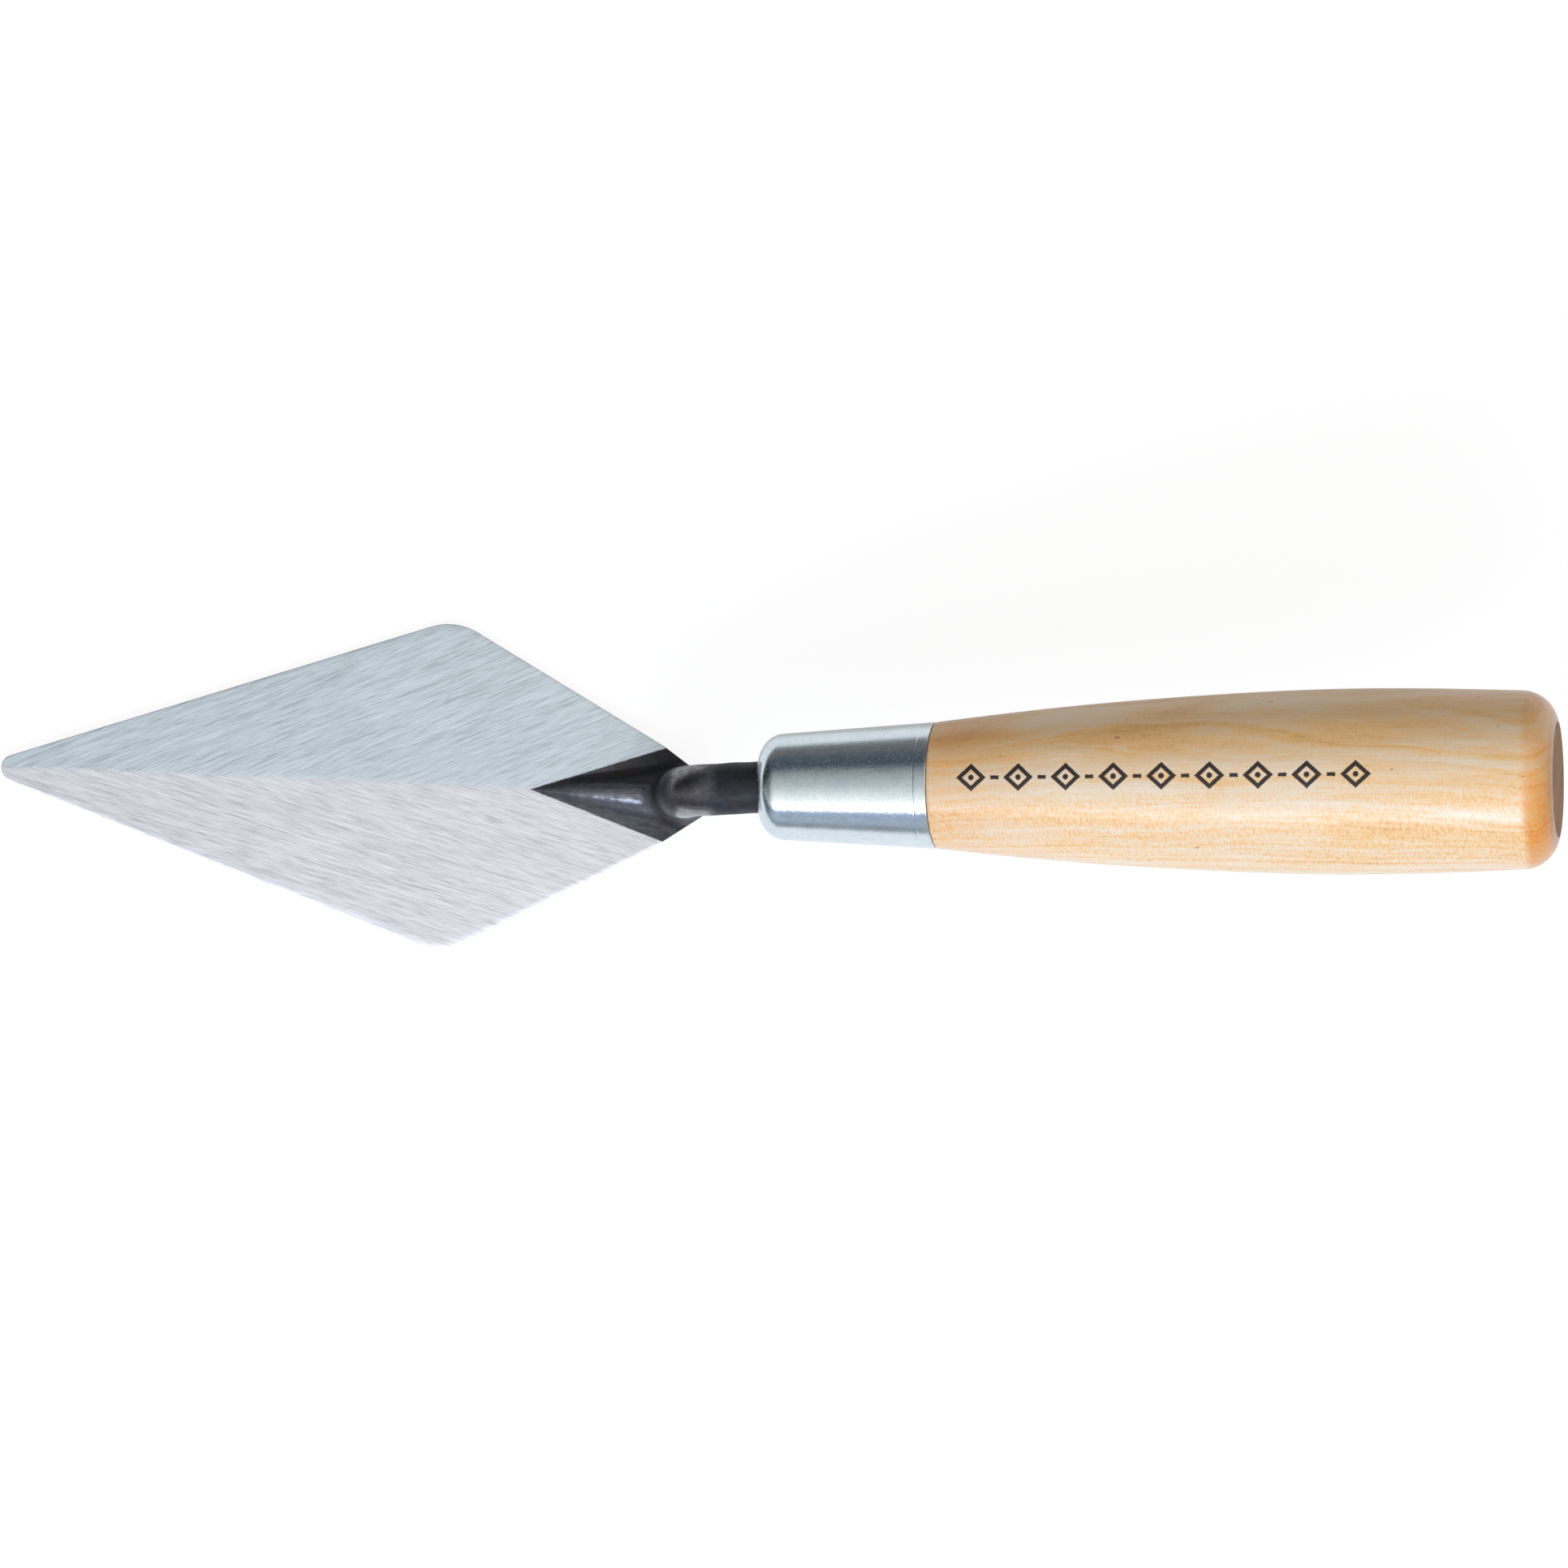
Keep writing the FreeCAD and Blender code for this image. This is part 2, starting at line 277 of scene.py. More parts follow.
def bar_distance(p):
    """Distance from the centre line of the bent bar, and how far along the
    handle's axis each point is, in the frame of the whole tool. The neck
    flares a little towards the blade on its way down."""
    along = np.array([math.cos(LIFT), 0, math.sin(LIFT)])
    q = rotate(p - FERRULE_FRONT, along, -NECK_LEAN)
    q = rotate(q, (0, 0, 1), -SHANK_YAW) + FERRULE_FRONT
    end_x = FOOT_X + BEND_R * (1 - math.sin(LIFT))
    end_z = FERRULE_FRONT[2] - (FERRULE_FRONT[0] - end_x) * math.tan(LIFT)
    start_z = end_z - BEND_R * math.cos(LIFT)
    cx, cz = FOOT_X + BEND_R, start_z
    x, y, z = q.T
    flare = 0.065 * np.clip(start_z - z, 0, 20)
    ahead = (FOOT_X - x) * BAR_R / (BAR_R + flare)
    on_neck = np.where(x < FOOT_X, ahead, x - FOOT_X)
    on_bend = np.abs(np.hypot(x - cx, z - cz) - BEND_R)
    on_shank = np.abs((z - end_z) * math.cos(LIFT) - (x - end_x) * math.sin(LIFT))
    past = (x - end_x) * math.cos(LIFT) + (z - end_z) * math.sin(LIFT)
    flat = np.where(past > 0, on_shank, np.where((z > cz) & (x < cx), on_bend, on_neck))
    t = (x - FERRULE_FRONT[0]) * math.cos(LIFT) + (z - FERRULE_FRONT[2]) * math.sin(LIFT)
    return np.hypot(flat, y), t


def outline_distance(x, y):
    """Signed distance from the kite's outline near the heel."""
    y = np.abs(y)
    back = (x - HEEL_X) * math.sin(HEEL_HALF) + y * math.cos(HEEL_HALF)
    pinch = (x - HEEL_END_X) * math.sin(PINCH_HALF) + y * math.cos(PINCH_HALF)
    nose_x = HEEL_END_X - HEEL_R / math.sin(PINCH_HALF)
    nose = np.hypot(x - nose_x, y) - HEEL_R
    in_nose = (x - nose_x) > np.tan(PINCH_HALF) * y
    return np.maximum(back, np.where(in_nose, nose, pinch))


def spine_radius(x):
    """The spine swells from its point to the neck."""
    s = np.clip((x + SPINE_LENGTH) / (SPINE_LENGTH - 3.0), 0, 1)
    return SPINE_R * s * (1.14 - 0.14 * s)


def forged_shape(p):
    """Signed distance to the spine, the neck's foot, the neck and the shank."""
    bar, t = bar_distance(p)
    hammer = 0.05 * np.sin(p[:, 0] * 0.9 + p[:, 2] * 0.7) * np.sin(p[:, 1] * 0.8 + p[:, 2] * 0.5)
    bar = bar - BAR_R + hammer
    c, s = math.cos(-BLADE_YAW), math.sin(-BLADE_YAW)
    dx, dy = p[:, 0] - BLADE_PLACE[0], p[:, 1] - BLADE_PLACE[1]
    x, y, z = c * dx - s * dy, s * dx + c * dy, p[:, 2]
    spine = (np.hypot(y, z - SPINE_AXIS_Z) - spine_radius(x)) * 0.97
    spine = np.maximum(spine, x - 1.0)
    # A slab sunk in the plate's top, for the spine and the bar to blend with.
    plate = z - (thickness(x, y) - 0.05)
    flats = np.maximum(plate, np.hypot(x + 8, y * 1.7) - 19)
    fillet = 0.1 + 1.5 * np.clip((x + SPINE_LENGTH) / 9.0, 0, 1)
    rib = smooth_min(spine, flats, fillet)
    rib = np.maximum(rib, -SPINE_LENGTH - x)
    foot = smooth_min(rib, bar, 2.8)
    foot = np.maximum(foot, outline_distance(x, y) + 0.03)
    whole = np.minimum(foot, bar)
    whole = np.maximum(whole, 0.3 - z)
    return np.maximum(whole, t - SHANK_END)


def surface_net(field, low, high, step):
    """A mesh of a signed distance field, one vertex to each cell that it
    passes through, drawn onto the surface by a few Newton steps."""
    axes = [np.arange(a, b + step, step) for a, b in zip(low, high)]
    shape = tuple(len(a) for a in axes)
    grid = np.stack(np.meshgrid(*axes, indexing="ij"), -1)
    value = field(grid.reshape(-1, 3)).reshape(shape)
    cells = tuple(n - 1 for n in shape)
    corners = [(i, j, k) for i in (0, 1) for j in (0, 1) for k in (0, 1)]

    def at(corner):
        return value[tuple(slice(o, o + n) for o, n in zip(corner, cells))]

    total, count = np.zeros(cells + (3,)), np.zeros(cells)
    for a in corners:
        for axis in range(3):
            if a[axis]:
                continue
            b = tuple(1 if i == axis else v for i, v in enumerate(a))
            fa, fb = at(a), at(b)
            cross = (fa < 0) != (fb < 0)
            share = np.where(cross, fa / np.where(cross, fa - fb, 1), 0)
            for i in range(3):
                offset = a[i] + (share if i == axis else 0)
                total[..., i] += np.where(cross, offset, 0)
            count += cross
    live = count > 0
    index = np.full(cells, -1)
    index[live] = np.arange(live.sum())
    place = np.argwhere(live) + total[live] / count[live][:, None]
    verts = np.array(low) + place * step
    faces = []
    for axis in range(3):
        u, v = (axis + 1) % 3, (axis + 2) % 3
        inside = [slice(1, n - 1) for n in shape]
        lower, upper = list(inside), list(inside)
        lower[axis], upper[axis] = slice(0, shape[axis] - 1), slice(1, shape[axis])
        lower, upper = tuple(lower), tuple(upper)
        fa, fb = value[lower], value[upper]
        for sign in (True, False):
            hit = np.argwhere(((fa < 0) != (fb < 0)) & ((fa < 0) == sign))
            if not len(hit):
                continue
            cell = hit.copy()
            cell[:, u] += 1
            cell[:, v] += 1
            du, dv = np.zeros(3, int), np.zeros(3, int)
            du[u], dv[v] = 1, 1
            quad = [index[tuple((cell - o).T)] for o in (du * 0, du, du + dv, dv)]
            faces.append(np.stack(quad if sign else quad[::-1], 1))
    for _ in range(4):
        h = 0.02
        f = field(verts)
        slopes = [(field(verts + e) - field(verts - e)) / (2 * h) for e in np.eye(3) * h]
        g = np.stack(slopes, 1)
        verts = verts - np.clip(f / np.maximum((g * g).sum(1), 0.2), -0.2, 0.2)[:, None] * g
    return verts, np.vstack(faces)


def neck_and_spine():
    """The black part of the forging, as one blended skin."""
    verts, faces = surface_net(forged_shape, (-31.0, -14.0, -0.6), (21.0, 12.0, 36.0), 0.42)
    return add_mesh("neck_and_spine", verts, faces)


def tang():
    """The square spike inside the handle."""
    verts, faces = [], []
    stations = [(SHANK_END, 5.6), (TANG_END - 5.0, 2.6), (TANG_END, 1.2)]
    for t, w in stations:
        verts += [(t, -w / 2, -w / 2), (t, w / 2, -w / 2), (t, w / 2, w / 2), (t, -w / 2, w / 2)]
    faces += [[3, 2, 1, 0], [8, 9, 10, 11]]
    for ring in (0, 4):
        for k in range(4):
            j = (k + 1) % 4
            faces.append([ring + k, ring + j, ring + 4 + j, ring + 4 + k])
    return add_mesh("tang_spike", from_handle(verts), faces, smooth=False)


# ------------------------------------------------------ ferrule and handle


def ferrule_skin(inset):
    """The cup's nose, and its radius beyond, inset from the outside."""
    radius, taper = NOSE_R - inset, math.atan(FERRULE_SLOPE)
    nose = [
        (NOSE_R - radius * math.cos(a), NOSE_AXIS_R + radius * math.sin(a))
        for a in np.linspace(0, math.pi / 2 - taper, 22)
    ]
    t, r = nose[-1]
    return nose, lambda x: r + (x - t) * FERRULE_SLOPE


def ferrule():
    """The plated cup, from its lipped hole to its rounded rim."""
    nose, wall = ferrule_skin(0)
    inner_nose, inner_wall = ferrule_skin(FERRULE_WALL)
    end = FERRULE_LENGTH
    lip = [(0.9, 4.85), (0.72, 4.76), (0.18, 4.76), (0.03, 4.86), (0.0, 5.0)]
    profile = lip + nose[:-1]
    along = list(np.linspace(nose[-1][0], end - 2.75, 40))
    profile += [(t, wall(t)) for t in along]
    groove_at = (2.6, 2.48, 2.40, 2.34, 2.28, 2.20, 2.08)
    groove_drop = (0.0, 0.01, 0.03, 0.035, 0.03, 0.01, 0.0)
    for t, drop in zip(groove_at, groove_drop):
        profile.append((end - t, wall(end - t) - drop))
    for t in np.linspace(1.9, 0.3, 8):
        profile.append((end - t, wall(end - t)))
    for a in np.linspace(0, 90, 6):
        s, c = math.sin(math.radians(a)), math.cos(math.radians(a))
        profile.append((end - 0.22 + 0.22 * s, wall(end) - 0.22 + 0.22 * c))
    profile += [(end, inner_wall(end) + 0.05), (end - 0.1, inner_wall(end))]
    profile += [(t, inner_wall(t)) for t in np.linspace(end - 2, inner_nose[-1][0] + 1, 12)]
    profile += inner_nose[::-1]
    return lathe("ferrule_shell", profile, 192)


def spline(stations, x):
    """A natural cubic through a few stations."""
    xs, ys = np.array(stations, float).T
    n, h = len(xs), np.diff(xs)
    a = np.zeros((n, n))
    b = np.zeros(n)
    a[0, 0] = a[-1, -1] = 1
    for i in range(1, n - 1):
        a[i, i - 1 : i + 2] = h[i - 1], 2 * (h[i - 1] + h[i]), h[i]
        b[i] = 6 * ((ys[i + 1] - ys[i]) / h[i] - (ys[i] - ys[i - 1]) / h[i - 1])
    m = np.linalg.solve(a, b)
    i = np.clip(np.searchsorted(xs, x) - 1, 0, n - 2)
    l, r = (xs[i + 1] - x), (x - xs[i])
    return (
        (m[i] * l**3 + m[i + 1] * r**3) / (6 * h[i])
        + (ys[i] / h[i] - m[i] * h[i] / 6) * l
        + (ys[i + 1] / h[i] - m[i + 1] * h[i] / 6) * r
    )


def handle():
    """The turned grip, with its tenon in the ferrule and the bore for the tang."""
    middle = [(52.9, 13.55), (76.0, 15.28), (107.0, 16.4)]
    stations = [(FERRULE_LENGTH, 11.3)] + middle + [(HANDLE_END, 15.5)]
    bore_end = TANG_END + 2.0
    bore = [(bore_end, 0.0), (bore_end, 1.75), (SHANK_END, 4.11), (SHANK_END, 4.95), (1.05, 4.95)]
    nose, wall = ferrule_skin(0.95)
    tenon = nose + [(t, wall(t)) for t in np.linspace(nose[-1][0] + 1, FERRULE_LENGTH, 16)]
    start = FERRULE_LENGTH + 0.04
    eased = ((0.0, 10.9), (0.05, 11.1), (0.18, 11.24), (0.4, 11.33))
    shoulder = [(start, wall(start))] + [(start + t, r) for t, r in eased]
    corner_t = HANDLE_END - BUTT_R
    grip = [(t, float(spline(stations, t))) for t in np.linspace(start + 0.7, corner_t - 0.3, 170)]
    edge_r = float(spline(stations, corner_t))
    slope = math.atan(edge_r - float(spline(stations, corner_t - 1)))
    corner = []
    for a in np.linspace(0, math.pi / 2, 26):
        ease = math.sin(a)
        drop = BUTT_R * (1 - math.cos(a))
        corner.append((corner_t + BUTT_R * ease, edge_r + slope * BUTT_R * ease * 0.5 - drop))
    rim_r = corner[-1][1]
    butt = [(HANDLE_END, rim_r * f) for f in (0.93, 0.8, 0.6, 0.4, 0.2)] + [(HANDLE_END, 0.0)]
    return lathe("turned_handle", bore + tenon + shoulder + grip + corner + butt, 224)


# ---------------------------------------------------------------- materials


class Nodes:
    """Short names for the shader nodes that the materials are made of."""

    def __init__(self, name):
        self.material = bpy.data.materials.new(name)
        self.material.use_nodes = True
        self.tree = self.material.node_tree
        self.shader = self.tree.nodes["Principled BSDF"]

    def node(self, kind, **values):
        made = self.tree.nodes.new(kind)
        for key, value in values.items():
            setattr(made, key, value)
        return made

    def put(self, socket, value):
        if isinstance(value, bpy.types.NodeSocket):
            self.tree.links.new(value, socket)
        else:
            socket.default_value = value

    def math(self, operation, a, b=0.0, c=0.0):
        made = self.node("ShaderNodeMath", operation=operation)
        for socket, value in zip(made.inputs, (a, b, c)):
            self.put(socket, value)
        return made.outputs[0]

    def add(self, *values):
        total = values[0]
        for value in values[1:]:
            total = self.math("ADD", total, value)
        return total

    def times(self, a, b):
        return self.math("MULTIPLY", a, b)

    def minus(self, a, b):
        return self.math("SUBTRACT", a, b)

    def smooth(self, value, low, high, at_low=0.0, at_high=1.0):
        """Eases from one level at low to another at high."""
        made = self.node("ShaderNodeMapRange", interpolation_type="SMOOTHSTEP")
        for i, v in enumerate((value, low, high, at_low, at_high)):
            self.put(made.inputs[i], v)
        return made.outputs[0]

    def part_place(self, origin, turn):
        """Where a point is in a part's own frame, in millimetres."""
        place = self.node("ShaderNodeTexCoord").outputs["Object"]
        made = self.node("ShaderNodeMapping", vector_type="TEXTURE")
        made.inputs["Location"].default_value = tuple(float(v) * MM for v in origin)
        made.inputs["Rotation"].default_value = turn
        made.inputs["Scale"].default_value = (MM, MM, MM)
        self.put(made.inputs[0], place)
        return made.outputs[0]

    def split(self, vector):
        made = self.node("ShaderNodeSeparateXYZ")
        self.put(made.inputs[0], vector)
        return made.outputs

    def join(self, x, y, z):
        made = self.node("ShaderNodeCombineXYZ")
        for socket, value in zip(made.inputs, (x, y, z)):
            self.put(socket, value)
        return made.outputs[0]

    def stretched(self, vector, scale, turn=0.0, origin=(0, 0, 0)):
        """The vector turned back about Z and divided by the scale, to stretch a texture."""
        made = self.node("ShaderNodeMapping", vector_type="TEXTURE")
        made.inputs["Location"].default_value = origin
        made.inputs["Rotation"].default_value = (0, 0, math.radians(turn))
        made.inputs["Scale"].default_value = scale
        self.put(made.inputs[0], vector)
        return made.outputs[0]

    def noise(self, vector, scale, detail=3.0, rough=0.55):
        made = self.node("ShaderNodeTexNoise")
        self.put(made.inputs["Vector"], vector)
        made.inputs["Scale"].default_value = scale
        made.inputs["Detail"].default_value = detail
        made.inputs["Roughness"].default_value = rough
        return made.outputs[0]

    def blend(self, *pairs):
        """A weighted sum of values."""
        return self.add(*[self.times(value, weight) for value, weight in pairs])

    def ramp(self, value, stops):
        made = self.node("ShaderNodeValToRGB")
        ramp = made.color_ramp
        while len(ramp.elements) < len(stops):
            ramp.elements.new(0.5)
        for element, (at, colour) in zip(ramp.elements, stops):
            element.position = at
            element.color = tuple(colour) + (1.0,)
        self.put(made.inputs[0], value)
        return made.outputs[0]

    def mix(self, share, a, b, blend="MIX"):
        made = self.node("ShaderNodeMix", data_type="RGBA", blend_type=blend)
        self.put(made.inputs[0], share)
        for socket, value in ((made.inputs[6], a), (made.inputs[7], b)):
            linked = isinstance(value, bpy.types.NodeSocket)
            self.put(socket, value if linked else tuple(value) + (1.0,))
        return made.outputs[2]

    def mix_value(self, share, a, b):
        made = self.node("ShaderNodeMix", data_type="FLOAT")
        for socket, value in zip((made.inputs[0], made.inputs[2], made.inputs[3]), (share, a, b)):
            self.put(socket, value)
        return made.outputs[0]

    def bump(self, height, distance):
        made = self.node("ShaderNodeBump")
        made.inputs["Strength"].default_value = 1.0
        made.inputs["Distance"].default_value = distance
        self.put(made.inputs["Height"], height)
        return made.outputs[0]

    def set(self, **values):
        for key, value in values.items():
            self.put(self.shader.inputs[key.replace("_", " ")], value)
        return self.material


def linear(r, g, b):
    """An 8-bit sRGB colour as linear values."""
    return tuple(((v / 255 + 0.055) / 1.055) ** 2.4 for v in (r, g, b))


def scale_layers(m, place, grey_steel_share):
    """Colour, metal, roughness and height of black forge scale, turning to grey steel as the share
    given rises to 1: wear, and on the spine and the elbow partly painted highlight."""
    mottle = m.noise(place, 0.9, 4.0, 0.6)
    fine = m.noise(place, 5.0, 3.0, 0.6)
    drag = m.noise(m.stretched(place, (3.0, 0.5, 0.5)), 1.0, 3.0, 0.6)
    grey_mix = m.add(m.blend((mottle, 0.9), (drag, 0.9), (fine, 0.5)), -1.15)
    grey_mix = m.smooth(m.add(grey_steel_share, m.times(grey_mix, m.math("MULTIPLY_ADD", grey_steel_share, 0.8, 0.10))), 0.0, 1.0)
    black = m.ramp(mottle, [(0.3, (0.013, 0.015, 0.019)), (0.7, (0.028, 0.031, 0.038))])
    rust = m.smooth(m.noise(place, 0.3, 3.0, 0.6), 0.42, 0.62)
    black = m.mix(m.times(rust, 0.55), black, (0.036, 0.025, 0.024))
    colour = m.mix(grey_mix, black, (0.36, 0.37, 0.40))
    metal = m.smooth(grey_mix, 0.06, 0.42)
    rough = m.add(m.times(fine, 0.20), m.smooth(grey_mix, 0.1, 0.6, 0.34, 0.15))
    height = m.blend((fine, 0.25), (mottle, 1.0))
    return colour, metal, rough, height


def ground_steel():
    """The plate: bright ground steel, with forge scale left in a wedge at the heel."""
    m = Nodes("ground_steel")
    place = m.part_place(BLADE_PLACE, (0, 0, BLADE_YAW))
    x, y, z = m.split(place)
    streaks = []
    for angle in (24.4, -15.0):
        hair = m.noise(m.stretched(place, (2.6, 0.085, 1.0), angle), 1.0, 2.0, 0.6)
        fine = m.noise(m.stretched(place, (6.0, 0.22, 1.0), angle), 1.0, 2.0, 0.6)
        long = m.noise(m.stretched(place, (16.0, 0.8, 1.0), angle), 1.0, 2.0, 0.6)
        streaks.append(m.blend((hair, 0.40), (fine, 0.42), (long, 0.18)))
    fray = m.noise(m.stretched(place, (3.2, 0.22, 1.0), 24.4), 1.0, 2.0, 0.6)
    upper = m.smooth(m.add(y, m.times(m.minus(fray, 0.5), 2.6)), 0.15, 0.45)
    streak = m.mix_value(upper, streaks[1], streaks[0])
    steel = m.ramp(streak, [
        (0.34, (0.50, 0.50, 0.51)),
        (0.50, (0.81, 0.81, 0.82)),
        (0.66, (0.99, 0.99, 0.995)),
    ])
    # Painted reflection: the +Y half is tinted bluer than the -Y half, standing in for the bluer
    # light it reflects.
    steel = m.mix(1.0, steel, m.mix(upper, (0.865, 0.865, 0.89), (0.82, 0.905, 0.96)), "MULTIPLY")
    reach = m.times(m.add(x, SPINE_LENGTH), math.tan(math.radians(19.3)))
    ragged = m.noise(m.stretched(place, (1.2, 0.5, 1.0)), 1.0, 3.0)
    edge = m.add(m.minus(m.math("ABSOLUTE", y), reach), m.times(m.minus(ragged, 0.5), 0.25))
    wedge = m.times(m.smooth(edge, -0.18, 0.14, 1.0, 0.0), m.math("GREATER_THAN", z, 0.12))
    grey_steel_share = m.add(m.smooth(x, -22.0, 0.0, 0.24, 0.02), m.smooth(y, -5.0, -2.0, 0.16, 0.0))
    black, metal, black_rough, black_height = scale_layers(m, place, grey_steel_share)
    height = m.mix_value(wedge, m.times(streak, 0.45), black_height)
    # Dulls the blade at grazing angles, where it washes out seen from behind.
    m.shader.inputs["Specular Tint"].default_value = (0.4, 0.4, 0.42, 1.0)
    return m.set(
        Base_Color=m.mix(wedge, steel, black),
        Metallic=m.mix_value(wedge, 1.0, metal),
        Roughness=m.mix_value(wedge, m.math("MULTIPLY_ADD", streak, 0.2, 0.34), black_rough),
        Normal=m.bump(height, 0.00002),
    )


def forge_scale():
    """The spine, neck and shank: black scale. The spine's back turns grey, partly wear and partly
    painted highlight, with painted shade keeping its +Y flank black; low on the elbow's -Y side a
    grey patch is painted highlight; the top of the elbow is browner, and it is blackest where the
    spine meets the neck."""
    m = Nodes("forge_scale")
    place = m.part_place(BLADE_PLACE, (0, 0, BLADE_YAW))
    x, y, z = m.split(place)
    across = m.math("POWER", y, 2.0)
    from_neck = m.math("SQRT", m.add(across, m.math("POWER", m.add(x, -FOOT_X), 2.0)))
    clear = m.smooth(from_neck, BAR_R + 0.6, BAR_R + 3.2)
    low = m.smooth(z, 8.0, 10.0, 1.0, 0.0)
    # Painted shade: the spine's grey stops on its +Y flank, which stays black.
    spine = m.times(m.times(low, clear), m.smooth(y, 0.8, 2.4, 1.0, 0.0))
    # The crown's grey is partly wear and partly painted highlight.
    crown = m.smooth(z, 2.6, 5.5, 0.16, 0.43)
    on_elbow = m.times(m.smooth(x, -4.4, -2.0), m.smooth(x, 1.5, 7.0, 1.0, 0.0))
    bend = m.times(m.smooth(z, 22.0, 26.0), on_elbow)
    # Painted highlight: a patch of grey steel low on the elbow's -Y side stands in for a reflection
    # of the light.
    beside_elbow = m.times(m.smooth(x, -2.5, -0.5), m.smooth(x, 3.0, 6.5, 1.0, 0.0))
    painted_elbow_highlight = m.times(m.smooth(z, 16.0, 21.0), beside_elbow)
    painted_elbow_highlight = m.times(painted_elbow_highlight, m.smooth(y, -3.0, -1.2, 1.0, 0.0))
    brown = m.times(bend, m.smooth(y, -2.0, 2.0, 0.0, 0.46))
    # The grey share adds the spine's wear and painted highlight, the browner top of the elbow, and
    # the painted highlight low on the elbow.
    grey_steel_share = m.add(0.02, m.times(spine, crown), brown, m.times(painted_elbow_highlight, 0.80))
    colour, metal, rough, height = scale_layers(m, place, grey_steel_share)
    colour = m.mix(m.times(bend, 0.5), colour, m.mix(1.0, colour, (1.0, 0.88, 0.80), "MULTIPLY"))
    m.shader.inputs["Specular IOR Level"].default_value = 0.2
    return m.set(Base_Color=colour, Metallic=metal, Roughness=rough, Normal=m.bump(height, 0.00003))


def zinc_plate():
    """The ferrule: bright zinc with a fine sparkle, faint drawing lines, scuffs
    and specks."""
    m = Nodes("zinc_plate")
    place = m.part_place(FERRULE_FRONT, (0, -LIFT, 0))
    x, y, z = m.split(place)
    sparkle = m.noise(place, 3.0, 3.0, 0.65)
    cloud = m.noise(place, 0.45, 3.0, 0.6)
    drawn = m.noise(m.join(m.times(x, 3.0), m.times(y, 0.10), m.times(z, 0.10)), 1.0, 3.0, 0.6)
    bloom = m.smooth(m.noise(place, 2.6, 5.0, 0.85), 0.50, 0.68)
    scuff = m.smooth(m.noise(m.stretched(place, (3.0, 0.3, 0.6), 20.0), 1.0, 4.0, 0.7), 0.64, 0.74)
    colour = m.ramp(m.blend((cloud, 0.5), (sparkle, 0.5)), [
        (0.32, (0.60, 0.68, 0.72)),
        (0.50, (0.70, 0.78, 0.80)),
        (0.70, (0.80, 0.86, 0.87)),
    ])
    colour = m.mix(m.times(scuff, 0.35), colour, (0.36, 0.40, 0.44))
    speck = m.smooth(m.noise(place, 4.2, 2.0, 0.7), 0.57, 0.66)
    colour = m.mix(m.times(speck, 0.30), colour, (0.30, 0.36, 0.46))
    rough = m.add(m.smooth(sparkle, 0.40, 0.70, 0.07, 0.17), m.times(scuff, 0.12))
    height = m.blend((sparkle, 0.9), (drawn, 0.5), (cloud, 1.2))
    metal = m.math("MULTIPLY_ADD", bloom, -0.26, 1.0)
    normal = m.bump(height, 0.000018)
    return m.set(Base_Color=colour, Metallic=metal, Roughness=rough, Normal=normal)


def ornament(m, x, y, z):
    """1 where a chain of lozenges and dashes is burnt into the top of the handle."""
    pitch, half_long, half_tall, stroke = 8.6, 2.7, 2.45, 0.37
    start, count, centre_line = 37.5, 9, 1.35
    run = m.minus(x, start)
    cell = m.math("MODULO", m.math("MAXIMUM", run, 0.0), pitch)
    u = m.math("ABSOLUTE", m.minus(cell, half_long))
    v = m.math("ABSOLUTE", m.minus(y, centre_line))
    lozenge = m.add(m.times(u, 1 / half_long), m.times(v, 1 / half_tall))
    per_mm = math.hypot(1 / half_long, 1 / half_tall)
    from_line = m.times(m.minus(lozenge, 1 - stroke * per_mm), 1 / per_mm)
    line = m.minus(m.math("ABSOLUTE", from_line), stroke)
    dot = m.minus(m.math("SQRT", m.add(m.math("POWER", u, 2.0), m.math("POWER", v, 2.0))), 0.5)
    dash_end = m.minus(m.math("ABSOLUTE", m.minus(cell, half_long + pitch / 2)), 0.75)
    dash = m.math("MAXIMUM", dash_end, m.minus(v, stroke * 0.9))
    ink = m.math("MINIMUM", line, m.math("MINIMUM", dot, dash))
    last = m.minus(run, pitch * (count - 1) + 2 * half_long)
    ink = m.math("MAXIMUM", ink, m.math("MAXIMUM", m.times(run, -1.0), last))
    bleed = m.times(m.minus(m.noise(m.join(x, y, z), 3.5, 3.0), 0.5), 0.25)
    inked = m.smooth(m.add(ink, bleed), -0.08, 0.08, 1.0, 0.0)
    return m.times(inked, m.math("GREATER_THAN", z, 0.0))


